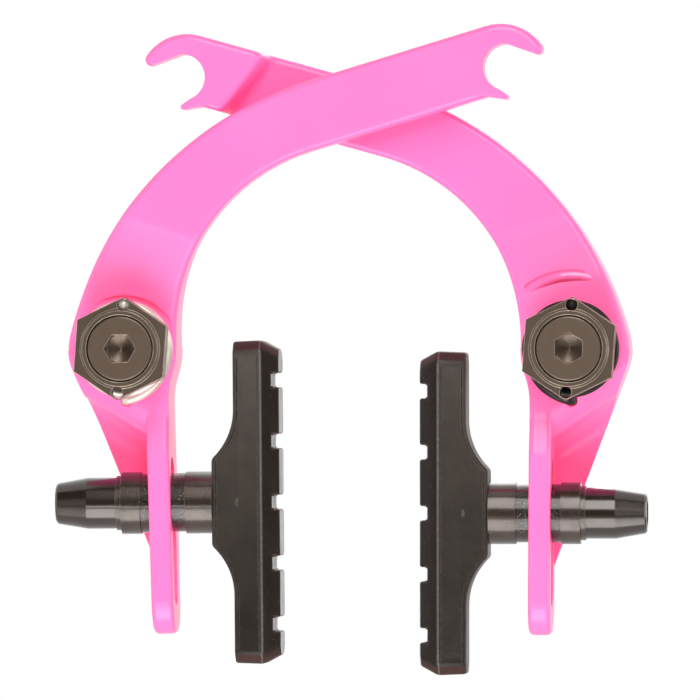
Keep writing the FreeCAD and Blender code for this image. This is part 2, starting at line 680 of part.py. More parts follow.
def pad_boss_outline(back, ridge):
    """The boss that the stud comes out of, whose sides curve out to meet the pad's back."""
    half_boss = PAD_BOSS_HEIGHT / 2
    rise = back - PAD_BOSS_FACE
    flare_radius = (rise**2 + PAD_FLARE**2) / (2 * rise)
    top_centre = Vector(back - flare_radius, 0, half_boss + PAD_FLARE)
    low_centre = Vector(back - flare_radius, 0, -half_boss - PAD_FLARE)
    top_start = Vector(PAD_BOSS_FACE, 0, half_boss)
    top_end = Vector(back, 0, half_boss + PAD_FLARE)
    low_start = Vector(back, 0, -half_boss - PAD_FLARE)
    low_end = Vector(PAD_BOSS_FACE, 0, -half_boss)
    outline = Outline(low_end)
    outline.line(top_start)
    outline.arc(arc_middle(top_centre, top_start, top_end), top_end)
    outline.line(Vector(ridge, 0, half_boss + PAD_FLARE))
    outline.line(Vector(ridge, 0, -half_boss - PAD_FLARE))
    outline.line(low_start)
    outline.arc(arc_middle(low_centre, low_start, low_end), low_end)
    return outline.face()


def pad(drop):
    """The rubber pad: grooved face, ridge, back and the flared boss round its stud."""
    back = PAD_FACE - PAD_FACE_TO_BACK
    ridge = PAD_FACE - PAD_FACE_TO_RIDGE
    half_length = PAD_LENGTH / 2
    half_width = PAD_WIDTH / 2
    back_wire = pad_section(half_length - PAD_BACK_END_INSET, half_width - PAD_BACK_INSET, back)
    ridge_wire = pad_section(half_length, half_width, ridge)
    face_wire = pad_section(half_length - PAD_FACE_END_INSET, half_width - PAD_FACE_INSET, PAD_FACE)
    holder = Part.makeLoft([back_wire, ridge_wire], True, True)
    block = Part.makeLoft([ridge_wire, face_wire], True, True)
    boss = pad_boss_outline(back, ridge).extrude(ALONG_Y * (PAD_WIDTH - 2 * PAD_BACK_INSET))
    boss.translate(ALONG_Y * (PAD_BACK_INSET - half_width))
    shape = holder.fuse(block).fuse(boss)
    for index in range(GROOVE_COUNT):
        z = (index - (GROOVE_COUNT - 1) / 2) * GROOVE_PITCH
        groove = Part.makeBox(GROOVE_DEPTH + OVERCUT, PAD_WIDTH + 2 * OVERCUT, GROOVE_WIDTH)
        groove.translate(Vector(PAD_FACE - GROOVE_DEPTH, -half_width - OVERCUT, z - GROOVE_WIDTH / 2))
        shape = shape.cut(groove)
    shape.translate(Vector(0, -SLOT_DEPTH, -drop))
    return shape.cut(pad_stud(drop)).removeSplitter()


def set_in_place(shape, side, lean):
    """Mirror a shape for its side, lean it about the post and move it onto the post."""
    placed = shape
    toward = 1
    if side == "right":
        placed = shape.mirror(ORIGIN, ALONG_X)
        toward = -1
    placed.rotate(ORIGIN, ALONG_Y, -lean * toward)
    placed.translate(Vector(-toward * POST_SPACING / 2, 0, 0))
    return placed


def clamped_in_place(shape, side):
    """Move a shape that doesn't follow the arm's lean onto its post."""
    moved = shape.copy()
    moved.translate(Vector(POST_SPACING / 2 if side == "right" else -POST_SPACING / 2, 0, 0))
    return moved


for side in ("left", "right"):
    drop = STUD_DROP[side]
    moving = {
        "arm": arm(side),
        "bushing": bushing(),
        "inner_dome_washer": dome_washer(drop, True),
        "outer_dome_washer": dome_washer(drop, False),
    }
    tilting = {
        "inner_cup_washer": cup_washer(drop, True),
        "outer_cup_washer": cup_washer(drop, False),
        "flat_washer": flat_washer(drop),
        "pad_nut": pad_nut(drop),
        "pad_stud": pad_stud(drop),
        "pad": pad(drop),
    }
    clamped = {
        "pivot_sleeve": pivot_sleeve(),
        "spring": spring(side),
        "spring_adjuster": spring_adjuster(),
        "pivot_bolt": pivot_bolt(side),
    }
    for name, shape in tilting.items():
        shape.rotate(Vector(PLATE_MIDDLE, -SLOT_DEPTH, -drop), ALONG_Y, STUD_TILT[side])
        moving[name] = shape
    for name, shape in moving.items():
        set_in_place(shape, side, ARM_LEAN[side]).exportStep(f"parts/{side}_{name}.step")
    for name, shape in clamped.items():
        clamped_in_place(shape, side).exportStep(f"parts/{side}_{name}.step")
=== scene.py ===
# %% [markdown]
# # A u-brake, dressed for its picture
# This lesson takes a brake that was drawn as solids and gives it its finish: glossy pink paint,
# black hardware, one bright and one black spring, and moulded rubber pads. The solids are loaded as
# a fixed frame. They could be modelled again by hand, but then the moving parts would no longer
# match, so they stay as they are and new pieces are laid over them only where the finish needs it.

# %% Load the frame
import bpy
import math
from mathutils import Matrix, Vector


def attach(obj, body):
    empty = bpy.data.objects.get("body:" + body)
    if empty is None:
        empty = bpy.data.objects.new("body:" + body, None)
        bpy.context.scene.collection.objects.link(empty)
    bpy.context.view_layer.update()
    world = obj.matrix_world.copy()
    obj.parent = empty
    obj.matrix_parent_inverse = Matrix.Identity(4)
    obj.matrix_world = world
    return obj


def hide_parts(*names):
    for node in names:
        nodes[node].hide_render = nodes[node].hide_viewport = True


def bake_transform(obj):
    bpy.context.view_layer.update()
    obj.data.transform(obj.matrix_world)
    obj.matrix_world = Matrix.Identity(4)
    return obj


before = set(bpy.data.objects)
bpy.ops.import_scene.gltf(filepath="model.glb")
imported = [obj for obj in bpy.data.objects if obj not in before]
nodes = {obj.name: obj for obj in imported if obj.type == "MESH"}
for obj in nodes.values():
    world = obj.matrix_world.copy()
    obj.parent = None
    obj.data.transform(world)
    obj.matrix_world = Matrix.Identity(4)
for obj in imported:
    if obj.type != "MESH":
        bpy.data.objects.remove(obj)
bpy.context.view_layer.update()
MM = 0.001

# %% [markdown]
# ## The camera
# The picture was taken from far away with a long lens, a little from the right and from just below
# the pivots. The angle shows in the coils, which peep out to the right of both hexagons. A short
# lens close by would spread the two sides apart, so the camera stands two metres off.

# %% Set the camera
VIEW_AZIMUTH = math.radians(4.5)
VIEW_ELEVATION = math.radians(-0.283)
VIEW_DISTANCE = 2.0
VIEW_TARGET = Vector((0.28 * MM, -12 * MM, -0.2 * MM))
PICTURE_WIDTH = 700  # pixels
FOCAL_LENGTH = 10921  # pixels
SENSOR_WIDTH = 36  # millimetres

view_back = Vector((
    math.sin(VIEW_AZIMUTH) * math.cos(VIEW_ELEVATION),
    -math.cos(VIEW_AZIMUTH) * math.cos(VIEW_ELEVATION),
    math.sin(VIEW_ELEVATION),
))
view_right = Vector((math.cos(VIEW_AZIMUTH), math.sin(VIEW_AZIMUTH), 0))
view_up = view_back.cross(view_right)
view_matrix = Matrix((view_right, view_up, view_back)).transposed().to_4x4()
view_matrix.translation = VIEW_TARGET + view_back * VIEW_DISTANCE

bpy.ops.object.select_all(action="DESELECT")
bpy.ops.object.camera_add()
camera = bpy.context.object
camera.name = "picture_camera"
camera.matrix_world = view_matrix
camera.data.sensor_width = SENSOR_WIDTH
camera.data.lens = SENSOR_WIDTH * (FOCAL_LENGTH / PICTURE_WIDTH)
bpy.context.scene.camera = camera
bpy.context.scene.view_settings.view_transform = "Standard"
print("camera at", [round(v, 3) for v in camera.location], "lens", round(camera.data.lens), "mm")

# %% [markdown]
# ## Tools for node trees
# The room and all finishes are node trees. Placing and joining their nodes by hand takes many clicks, and
# in a script many lines, so a few small functions do what comes up again and again.


# %% Helpers for node trees
def node(tree, kind, **settings):
    """A node with some of its settings or inputs given."""
    made = tree.nodes.new(kind)
    for key, value in settings.items():
        if key in made.inputs:
            made.inputs[key].default_value = value
        else:
            setattr(made, key, value)
    return made


def join(tree, source, target):
    """A link from one node's output to another node's input."""
    tree.links.new(source, target)


def maths(tree, operation, first, second=None):
    """The result of one step of arithmetic. The second value may be a number."""
    step = node(tree, "ShaderNodeMath", operation=operation)
    join(tree, first, step.inputs[0])
    if isinstance(second, float):
        step.inputs[1].default_value = second
    elif second is not None:
        join(tree, second, step.inputs[1])
    return step.outputs[0]


def shown_to_lens(tree):
    """1 for rays from the lens, also by way of a mirror or glass, and 0 for those that only light."""
    ray = node(tree, "ShaderNodeLightPath")
    mirrored = maths(tree, "MAXIMUM", ray.outputs["Is Camera Ray"], ray.outputs["Is Glossy Ray"])
    return maths(tree, "MAXIMUM", mirrored, ray.outputs["Is Transmission Ray"])


# %% [markdown]
# ## White room and floor
# The background of the picture is pure white. The world shows white to the camera and to reflections,
# and a softer grey to the light that falls on the brake, so that the paint keeps its depth. The floor
# is a pale sheet well below the pads, low enough to stay out of the picture. Half of what the lens
# sees of it is plain white and half is lit, so that it stays pale from above and keeps the shadow.

# %% Make the white room
FILL_COLOUR = (1.0, 0.99, 0.98, 1)
FILL_STRENGTH = 0.25
world = bpy.data.worlds.new("white_room")
bpy.context.scene.world = world
world.use_nodes = True
room = world.node_tree
room.nodes.clear()
fill_light = node(room, "ShaderNodeBackground", Color=FILL_COLOUR, Strength=FILL_STRENGTH)
white_back = node(room, "ShaderNodeBackground", Color=(1, 1, 1, 1), Strength=1.0)
pick = node(room, "ShaderNodeMixShader")
room_out = node(room, "ShaderNodeOutputWorld")
join(room, shown_to_lens(room), pick.inputs["Fac"])
join(room, fill_light.outputs[0], pick.inputs[1])
join(room, white_back.outputs[0], pick.inputs[2])
join(room, pick.outputs[0], room_out.inputs["Surface"])
print(world.name, "with a fill light of", FILL_STRENGTH)

# %% Lay the floor
FLOOR_SIZE = 3.0
FLOOR_HEIGHT = -0.5
FLOOR_COLOUR = (0.92, 0.92, 0.91, 1)
FLOOR_ROUGHNESS = 0.9
FLOOR_WHITE = 0.5
bpy.ops.object.select_all(action="DESELECT")
bpy.ops.mesh.primitive_plane_add(size=FLOOR_SIZE, location=(0, 0, FLOOR_HEIGHT))
floor = bpy.context.object
floor.name = "floor"
floor_paint = bpy.data.materials.new("pale_floor")
floor_paint.use_nodes = True
floor_tree = floor_paint.node_tree
floor_shader = floor_tree.nodes["Principled BSDF"]
floor_shader.inputs["Base Color"].default_value = FLOOR_COLOUR
floor_shader.inputs["Roughness"].default_value = FLOOR_ROUGHNESS
floor_white = node(floor_tree, "ShaderNodeEmission", Strength=1.0)
floor_mix = node(floor_tree, "ShaderNodeMixShader")
floor_share = maths(floor_tree, "MULTIPLY", shown_to_lens(floor_tree), FLOOR_WHITE)
join(floor_tree, floor_share, floor_mix.inputs["Fac"])
join(floor_tree, floor_shader.outputs[0], floor_mix.inputs[1])
join(floor_tree, floor_white.outputs[0], floor_mix.inputs[2])
join(floor_tree, floor_mix.outputs[0], floor_tree.nodes["Material Output"].inputs["Surface"])
floor.data.materials.append(floor_paint)
print("floor at", floor.location.z)

# %% [markdown]
# ## Dark card
# In a white room black steel and rubber turn grey, because they mirror the white all round. A
# photographer hangs a dark card at the lens, so that what faces the lens mirrors the card and only the
# rounded edges mirror the lamps. The card reaches far up, because the tops of the nuts are black in the
# picture. It is seen by reflections alone.

# %% Hang the dark card
CARD_SIZE = 2.0
CARD_PLACE = (0, -0.7, 0.75)
CARD_COLOUR = (0.06, 0.055, 0.05, 1)
CARD_ROUGHNESS = 0.95
bpy.ops.object.select_all(action="DESELECT")
bpy.ops.mesh.primitive_plane_add(
    size=CARD_SIZE, location=CARD_PLACE, rotation=(math.radians(-90), 0, 0))
card = bpy.context.object
card.name = "dark_card"
card_paint = bpy.data.materials.new("dark_card")
card_paint.use_nodes = True
card_shader = card_paint.node_tree.nodes["Principled BSDF"]
card_shader.inputs["Base Color"].default_value = CARD_COLOUR
card_shader.inputs["Roughness"].default_value = CARD_ROUGHNESS
card.data.materials.append(card_paint)
card.visible_camera = False
card.visible_diffuse = False
card.visible_transmission = False
card.visible_shadow = False
print("card at", round(card.location.y, 2))

# %% [markdown]
# ## Lamps
# The nuts tell where the lamps stood, because a cylinder mirrors a narrow slice of the whole room. Each
# has a dark front between two bands of light: a tall diffuser above the lens, a little to the right, and
# the pale table below. One small lamp would do for brightness, but the bands and the soft patches on the
# plates' corners need large ones. A small lamp below the lens is for the patch on the left arm's bend,
# and narrow strips on either side draw thin lines along the pads' ridges and the arms' edges. The side
# and back lamps keep the faces that look away from the lens from going dull.

# %% Hang the diffusers
DIFFUSERS = (
    # name, azimuth and elevation in degrees, distance, width and height in metres, power in watts
    ("key_diffuser", 7, 36, 0.6, 0.24, 0.46, 2.0),
    ("table_diffuser", -3, -48, 0.45, 0.4, 0.34, 1.7),
    ("low_front_diffuser", -11, -17, 0.6, 0.09, 0.06, 0.1),
    ("right_strip", 23, 2, 0.5, 0.03, 0.3, 0.05),
    ("left_narrow_strip", -28, 2, 0.5, 0.03, 0.3, 0.05),
    ("right_side_diffuser", 96, 5, 0.6, 0.4, 0.4, 1.2),
    ("left_strip", -68, 8, 0.5, 0.16, 0.4, 0.4),
    ("back_diffuser", 165, 35, 0.6, 0.4, 0.4, 0.9),
)


def diffuser(name, azimuth, elevation, distance, width, height, power):
    """A rectangular lamp that looks at the brake. Azimuth 0 is in front, 90 on the right."""
    a, e = math.radians(azimuth), math.radians(elevation)
    away = Vector((math.sin(a) * math.cos(e), -math.cos(a) * math.cos(e), math.sin(e)))
    bpy.ops.object.light_add(type="AREA", location=away * distance)
    lamp = bpy.context.object
    lamp.name = name
    lamp.rotation_euler = away.to_track_quat("Z", "Y").to_euler()
    lamp.data.shape = "RECTANGLE"
    lamp.data.size = width
    lamp.data.size_y = height
    lamp.data.energy = power
    lamp.visible_camera = False
    print(name, "at", [round(v, 3) for v in lamp.location])


for values in DIFFUSERS:
    diffuser(*values)

# %% [markdown]
# ## Shared effects
# Three effects turn up in more than one finish, so each is a node group: a fine grain for blasted and
# moulded surfaces, an edge mask that finds the edges by comparing a rounded normal with the plain one,
# for rubbed wear and for painted highlights along edges, and small pale specks, for dust and for painted
# glints. They could be painted by hand, but that takes a flat map and an image for every piece. Patterns
# on Object coordinates need neither, and stay with a piece when it moves.


# %% Helpers for effects
def spread(tree, value, low, high, start=0.0, stop=1.0):
    """A value that runs from start to stop, spread between low and high."""
    ranged = node(tree, "ShaderNodeMapRange")
    ranged.inputs["From Min"].default_value = start
    ranged.inputs["From Max"].default_value = stop
    ranged.inputs["To Min"].default_value = low
    ranged.inputs["To Max"].default_value = high
    join(tree, value, ranged.inputs["Value"])
    return ranged.outputs["Result"]


def new_group(name, inputs, outputs):
    """An empty node group with named sockets, and its two end nodes."""
    tree = bpy.data.node_groups.new(name, "ShaderNodeTree")
    for label, value in inputs.items():
        socket = tree.interface.new_socket(label, in_out="INPUT", socket_type="NodeSocketFloat")
        socket.default_value = value
    for label, kind in outputs.items():
        tree.interface.new_socket(label, in_out="OUTPUT", socket_type=kind)
    return tree, tree.nodes.new("NodeGroupInput"), tree.nodes.new("NodeGroupOutput")


# %% Fine grain
PATCH_CONTRAST = (0.3, 0.7)


def grain_effect():
    """Fine bumps, and slow patches that the colour and the gloss vary with."""
    tree, start, end = new_group(
        "fine_grain",
        {"Grain Scale": 2000.0, "Patch Scale": 120.0},
        {"Height": "NodeSocketFloat", "Patches": "NodeSocketFloat"},
    )
    place = node(tree, "ShaderNodeTexCoord")
    grain = node(tree, "ShaderNodeTexNoise", Detail=3.0, Roughness=0.6)
    patch = node(tree, "ShaderNodeTexNoise", Detail=4.0, Roughness=0.55)
    join(tree, place.outputs["Object"], grain.inputs["Vector"])
    join(tree, place.outputs["Object"], patch.inputs["Vector"])
    join(tree, start.outputs["Grain Scale"], grain.inputs["Scale"])
    join(tree, start.outputs["Patch Scale"], patch.inputs["Scale"])
    join(tree, grain.outputs["Fac"], end.inputs["Height"])
    join(tree, spread(tree, patch.outputs["Fac"], 0.0, 1.0, *PATCH_CONTRAST), end.inputs["Patches"])
    return tree


fine_grain = grain_effect()
print("effect:", fine_grain.name)

# %% Edge rub and painted highlight
EDGE_BEND = (0.995, 0.9)
CHIP_CONTRAST = (0.35, 0.65)


def edge_effect():
    """A mask that is 1 along edges and fades over the given width, broken up by noise."""
    tree, start, end = new_group(
        "edge_rub_and_highlight",
        {"Width": 0.3 * MM, "Breakup Scale": 900.0, "Breakup": 0.5},
        {"Mask": "NodeSocketFloat", "Round Normal": "NodeSocketVector"},
    )
    place = node(tree, "ShaderNodeTexCoord")
    plain = node(tree, "ShaderNodeNewGeometry")
    rounded = node(tree, "ShaderNodeBevel", samples=6)
    match = node(tree, "ShaderNodeVectorMath", operation="DOT_PRODUCT")
    noise = node(tree, "ShaderNodeTexNoise", Detail=3.0)
    keep = node(tree, "ShaderNodeMix", data_type="FLOAT")
    join(tree, start.outputs["Width"], rounded.inputs["Radius"])
    join(tree, rounded.outputs["Normal"], match.inputs[0])
    join(tree, plain.outputs["Normal"], match.inputs[1])
    bend = spread(tree, match.outputs["Value"], 0.0, 1.0, *EDGE_BEND)
    join(tree, place.outputs["Object"], noise.inputs["Vector"])
    join(tree, start.outputs["Breakup Scale"], noise.inputs["Scale"])
    join(tree, start.outputs["Breakup"], keep.inputs["Factor"])
    keep.inputs["A"].default_value = 1.0
    join(tree, spread(tree, noise.outputs["Fac"], 0.0, 1.0, *CHIP_CONTRAST), keep.inputs["B"])
    join(tree, maths(tree, "MULTIPLY", bend, keep.outputs["Result"]), end.inputs["Mask"])
    join(tree, rounded.outputs["Normal"], end.inputs["Round Normal"])
    return tree


edge_rub_and_highlight = edge_effect()
print("effect:", edge_rub_and_highlight.name)


# %% Specks of dust and painted glints
def speck_effect():
    """A mask of small specks, gathered in slow patches."""
    tree, start, end = new_group(
        "specks_of_dust_and_glint",
        {"Speck Scale": 1600.0, "Patch Scale": 200.0, "Amount": 0.1},
        {"Mask": "NodeSocketFloat"},
    )
    place = node(tree, "ShaderNodeTexCoord")
    speck = node(tree, "ShaderNodeTexVoronoi")
    patch = node(tree, "ShaderNodeTexNoise", Detail=3.0)
    join(tree, place.outputs["Object"], speck.inputs["Vector"])
    join(tree, place.outputs["Object"], patch.inputs["Vector"])
    join(tree, start.outputs["Speck Scale"], speck.inputs["Scale"])
    join(tree, start.outputs["Patch Scale"], patch.inputs["Scale"])
    reach = maths(tree, "MULTIPLY", patch.outputs["Fac"], start.outputs["Amount"])
    join(tree, maths(tree, "LESS_THAN", speck.outputs["Distance"], reach), end.inputs["Mask"])
    return tree


specks_of_dust_and_glint = speck_effect()
print("effect:", specks_of_dust_and_glint.name)

# %% [markdown]
# ## Finishes
# Each finish is one Principled shader. Its colour, gloss and bump come from the shared effects with
# its own values. Numbers that are the same all over sit on the shader's own sockets.


# %% Helpers for finishes
def finish(name, **settings):
    """A material with one Principled shader, given its even values."""
    material = bpy.data.materials.new(name)
    material.use_nodes = True
    tree = material.node_tree
    shader = tree.nodes["Principled BSDF"]
    for key, value in settings.items():
        shader.inputs[key.replace("_", " ")].default_value = value
    return material, tree, shader


def effect(tree, group, **values):
    """One use of a shared effect."""
    use = tree.nodes.new("ShaderNodeGroup")
    use.node_tree = group
    for key, value in values.items():
        use.inputs[key.replace("_", " ")].default_value = value
    return use


MIX_FIRST, MIX_SECOND = 6, 7  # a Mix node's inputs for two colours
MIX_RESULT = 2  # and its output for a colour


def blend_colour(tree, factor, first, second):
    """A colour that goes from first to second with a factor. Either may be a socket."""
    mix = node(tree, "ShaderNodeMix", data_type="RGBA")
    for index, colour in ((MIX_FIRST, first), (MIX_SECOND, second)):
        if isinstance(colour, tuple):
            mix.inputs[index].default_value = (*colour, 1)
        else:
            join(tree, colour, mix.inputs[index])
    join(tree, factor, mix.inputs["Factor"])
    return mix.outputs[MIX_RESULT]


def bumped(tree, shader, height, depth, normal):
    """Feed a height to the shader's normal, over a rounded normal."""
    bump = node(tree, "ShaderNodeBump", Strength=1.0, Distance=depth)
    join(tree, height, bump.inputs["Height"])
    join(tree, normal, bump.inputs["Normal"])
    join(tree, bump.outputs["Normal"], shader.inputs["Normal"])


# %% [markdown]
# ## Pink paint
# The forgings carry a thick, glossy paint that looks fluorescent: its pockets and shadows stay bright
# red. A plain colour only gives back the light that falls on it, so a small red emission is added, a
# painted glow that keeps the shade red. The paint has a slight orange peel and is a little paler where
# it thins out over an edge. A second paint with a thicker skin is for the ledge above the right adjuster,
# which shines more.

# %% Pink paint
PINK_PATCHES = ((1.0, 0.195, 0.545), (1.0, 0.21, 0.575))
PINK_EDGE = (1.0, 0.235, 0.62)
# The red emission is a painted glow: the paint lights itself, so its pockets and shadows stay red.
PINK_PAINTED_GLOW = (1.0, 0.02, 0.04, 1)
PAINTED_GLOW_STRENGTH = 0.4
PINK_ROUGHNESS = (0.3, 0.4)
PEEL_DEPTH = 0.014 * MM


def pink_paint(name, gloss):
    """Glossy pink paint, with more or less of a clear skin on it."""
    material, tree, shader = finish(
        name, IOR=1.4, Coat_Weight=gloss, Coat_Roughness=0.06, Emission_Strength=PAINTED_GLOW_STRENGTH)
    peel = effect(tree, fine_grain, Grain_Scale=420.0, Patch_Scale=45.0)
    edge = effect(tree, edge_rub_and_highlight, Width=0.6 * MM, Breakup_Scale=500.0, Breakup=0.3)
    base = blend_colour(tree, peel.outputs["Patches"], *PINK_PATCHES)
    join(tree, blend_colour(tree, edge.outputs["Mask"], base, PINK_EDGE), shader.inputs["Base Color"])
    # Painted glow: a red emission that keeps the paint's shade bright red.
    shader.inputs["Emission Color"].default_value = PINK_PAINTED_GLOW
    join(tree, spread(tree, peel.outputs["Patches"], *PINK_ROUGHNESS), shader.inputs["Roughness"])
    bumped(tree, shader, peel.outputs["Height"], PEEL_DEPTH, edge.outputs["Round Normal"])
    return material


paint = pink_paint("pink_paint", gloss=0.25)
thick_paint = pink_paint("thick_pink_paint", gloss=1.0)
print("finishes:", paint.name, thick_paint.name)

# %% [markdown]
# ## Black hardware
# The adjusters, bolts, washers and nuts are steel with a brown-black oxide. It is thin, so the metal
# shines through as a warm sheen. Their edges are paler, partly rubbed by a spanner and partly a painted
# highlight. The domed washers have a coarse grain and bright flecks that are painted glints, the cups are
# satin, and the turned nuts stayed smooth. One recipe with different numbers serves for all five.


# %% A recipe for black hardware
def black_hardware(name, oil, grain_scale, grain_depth, dull, shiny, dark, pale, fleck_and_glint, rub_and_highlight):
    """Black oxide on steel: brown-black, with paler edges that are rubbed wear and a painted highlight.
    """
    material, tree, shader = finish(
        name, IOR=1.5, Metallic=0.55, Coat_Weight=oil, Coat_Roughness=0.14)
    grain = effect(tree, fine_grain, Grain_Scale=grain_scale, Patch_Scale=260.0)
    edge = effect(tree, edge_rub_and_highlight, Width=0.22 * MM, Breakup_Scale=1400.0, Breakup=0.35)
    specks = effect(tree, specks_of_dust_and_glint, Speck_Scale=2400.0, Patch_Scale=420.0, Amount=0.3)
    base = blend_colour(tree, grain.outputs["Patches"], dark, pale)
    # Flecks: specks of dust, and on the domed washers painted glints.
    flecked_and_glinting = blend_colour(tree, specks.outputs["Mask"], base, fleck_and_glint)
    # Paler edges: rubbed wear and a painted highlight.
    join(tree, blend_colour(tree, edge.outputs["Mask"], flecked_and_glinting, rub_and_highlight), shader.inputs["Base Color"])
    join(tree, spread(tree, grain.outputs["Patches"], dull, shiny), shader.inputs["Roughness"])
    bumped(tree, shader, grain.outputs["Height"], grain_depth, edge.outputs["Round Normal"])
    return material


# %% Black hardware
# Each rub colour paints the edges paler: rubbed wear and a painted highlight.
hex_black = black_hardware(
    "black_adjuster", oil=0.15, grain_scale=3000.0, grain_depth=0.01 * MM, dull=0.44, shiny=0.36,
    dark=(0.1, 0.068, 0.047), pale=(0.128, 0.09, 0.064),
    fleck_and_glint=(0.16, 0.115, 0.085), rub_and_highlight=(0.75, 0.63, 0.5))
bolt_black = black_hardware(
    "black_bolt", oil=0.15, grain_scale=3500.0, grain_depth=0.008 * MM, dull=0.4, shiny=0.32,
    dark=(0.14, 0.094, 0.066), pale=(0.175, 0.124, 0.09),
    fleck_and_glint=(0.19, 0.14, 0.1), rub_and_highlight=(0.5, 0.4, 0.31))
cup_black = black_hardware(
    "black_cup", oil=0.7, grain_scale=4800.0, grain_depth=0.03 * MM, dull=0.3, shiny=0.2,
    dark=(0.035, 0.022, 0.016), pale=(0.07, 0.05, 0.038),
    fleck_and_glint=(0.16, 0.12, 0.1), rub_and_highlight=(0.2, 0.15, 0.12))
# The domed washers' bright flecks are painted glints.
dome_black = black_hardware(
    "black_dome", oil=0.8, grain_scale=4200.0, grain_depth=0.09 * MM, dull=0.26, shiny=0.16,
    dark=(0.014, 0.009, 0.006), pale=(0.03, 0.02, 0.015),
    fleck_and_glint=(0.42, 0.37, 0.34), rub_and_highlight=(0.1, 0.075, 0.06))
nut_black = black_hardware(
    "black_nut", oil=0.9, grain_scale=5200.0, grain_depth=0.012 * MM, dull=0.24, shiny=0.15,
    dark=(0.03, 0.02, 0.014), pale=(0.045, 0.032, 0.025),
    fleck_and_glint=(0.07, 0.05, 0.04), rub_and_highlight=(0.26, 0.21, 0.17))
print("finishes:", hex_black.name, bolt_black.name, cup_black.name, dome_black.name, nut_black.name)

# %% [markdown]
# ## Wire and turned metal
# The left spring is bright wire and the right one black, as the picture shows. The sleeves are plain
# turned steel and the bearings bronze, which is a guess, because they are hidden. All are drawn or
# turned, so one recipe with a fine grain and an uneven gloss covers them.

# %% A recipe for drawn and turned metal
DRAWN_DEPTH = 0.008 * MM


def drawn_metal(name, colour, pale, dull, shiny, metallic, gloss):
    """Drawn wire or a turned surface: a fine grain and an uneven gloss."""
    material, tree, shader = finish(name, Metallic=metallic, Specular_IOR_Level=gloss)
    grain = effect(tree, fine_grain, Grain_Scale=2600.0, Patch_Scale=400.0)
    edge = effect(tree, edge_rub_and_highlight, Width=0.15 * MM, Breakup_Scale=1500.0, Breakup=0.5)
    base = blend_colour(tree, grain.outputs["Patches"], colour, pale)
    join(tree, blend_colour(tree, edge.outputs["Mask"], base, pale), shader.inputs["Base Color"])
    join(tree, spread(tree, grain.outputs["Patches"], dull, shiny), shader.inputs["Roughness"])
    bumped(tree, shader, grain.outputs["Height"], DRAWN_DEPTH, edge.outputs["Round Normal"])
    return material


# %% Wire and turned metal
silver_wire = drawn_metal(
    "silver_wire", colour=(0.72, 0.66, 0.57), pale=(0.86, 0.8, 0.7),
    dull=0.46, shiny=0.34, metallic=0.5, gloss=0.5)
black_wire = drawn_metal(
    "black_wire", colour=(0.014, 0.011, 0.01), pale=(0.03, 0.025, 0.022),
    dull=0.42, shiny=0.3, metallic=0.2, gloss=0.25)
turned_steel = drawn_metal(
    "turned_steel", colour=(0.45, 0.45, 0.45), pale=(0.6, 0.6, 0.59),
    dull=0.36, shiny=0.24, metallic=1.0, gloss=0.5)
bronze = drawn_metal(
    "plain_bronze", colour=(0.5, 0.31, 0.14), pale=(0.62, 0.42, 0.22),
    dull=0.4, shiny=0.3, metallic=1.0, gloss=0.5)
print("finishes:", silver_wire.name, black_wire.name, turned_steel.name, bronze.name)

# %% [markdown]
# ## Moulded rubber
# The pads are black rubber with the faint grain of their mould. The body is painted lighter towards its
# top, a painted light from above, the block beyond the ridge is blacker, and the friction face is painted
# pale grey, a painted reflection of the white room. These could be three materials, but the way a face
# points tells them apart without splitting the mesh: the body faces front or back, the block's sides lean
# towards the wheel, and the friction face meets it. The rounded ridge between body and block has a thin
# grey line that is a painted highlight, the edges are paler with scuffs and a painted highlight, and the
# end caps are painted redder, a painted reflection of the pink arms.

# %% Zones of the rubber
BLOCK_LEAN = (-0.1, -0.22)
FACE_LEAN = -0.85
CAP_LEAN = (0.45, 0.65)
RIDGE_LEAN = 0.1
RIDGE_REACH = 0.11
# Painted light: between these heights the body grows lighter towards the top, as if lit from above.
TOP_LIGHT_LOW = -50 * MM
TOP_LIGHT_HIGH = 4 * MM


def rubber_zones(tree):
    """Masks for the zones of a pad, told apart by height and by the way that a face points."""
    place = node(tree, "ShaderNodeTexCoord")
    spot = node(tree, "ShaderNodeSeparateXYZ")
    facing = node(tree, "ShaderNodeSeparateXYZ")
    join(tree, place.outputs["Object"], spot.inputs["Vector"])
    join(tree, place.outputs["Normal"], facing.inputs["Vector"])
    outward = maths(tree, "MULTIPLY", maths(tree, "SIGN", spot.outputs["X"]), facing.outputs["X"])
    off_ridge = maths(tree, "ABSOLUTE", maths(tree, "ADD", outward, RIDGE_LEAN))
    steep = maths(tree, "ABSOLUTE", facing.outputs["Z"])
    return {
        "painted_top_light": spread(tree, spot.outputs["Z"], 0.0, 1.0, TOP_LIGHT_LOW, TOP_LIGHT_HIGH),
        "block": spread(tree, outward, 0.0, 1.0, *BLOCK_LEAN),
        "cap": spread(tree, steep, 0.0, 1.0, *CAP_LEAN),
        "ridge": spread(tree, off_ridge, 0.0, 1.0, RIDGE_REACH, RIDGE_REACH / 3),
        "face": maths(tree, "LESS_THAN", outward, FACE_LEAN),
    }


# %% Moulded rubber
# Painted shade at the bottom of the body and painted light at its top.
RUBBER_PAINTED_SHADED = ((0.016, 0.011, 0.008), (0.026, 0.02, 0.016))
RUBBER_PAINTED_LIT = ((0.05, 0.039, 0.033), (0.074, 0.061, 0.052))
BLOCK_RUBBER = (0.016, 0.011, 0.009)
# Painted reflection: the end caps are redder, as if mirroring the pink arms above them.
CAP_PAINTED_PINK_REFLECTION = (0.052, 0.022, 0.019)
# Painted highlight: a thin grey line along the ridge.
RIDGE_PAINTED_HIGHLIGHT = (0.2, 0.18, 0.165)
# Paler edges: scuffs and a painted highlight.
SCUFF_AND_HIGHLIGHT_GREY = (0.13, 0.115, 0.1)
SPECK_GREY = (0.075, 0.065, 0.056)
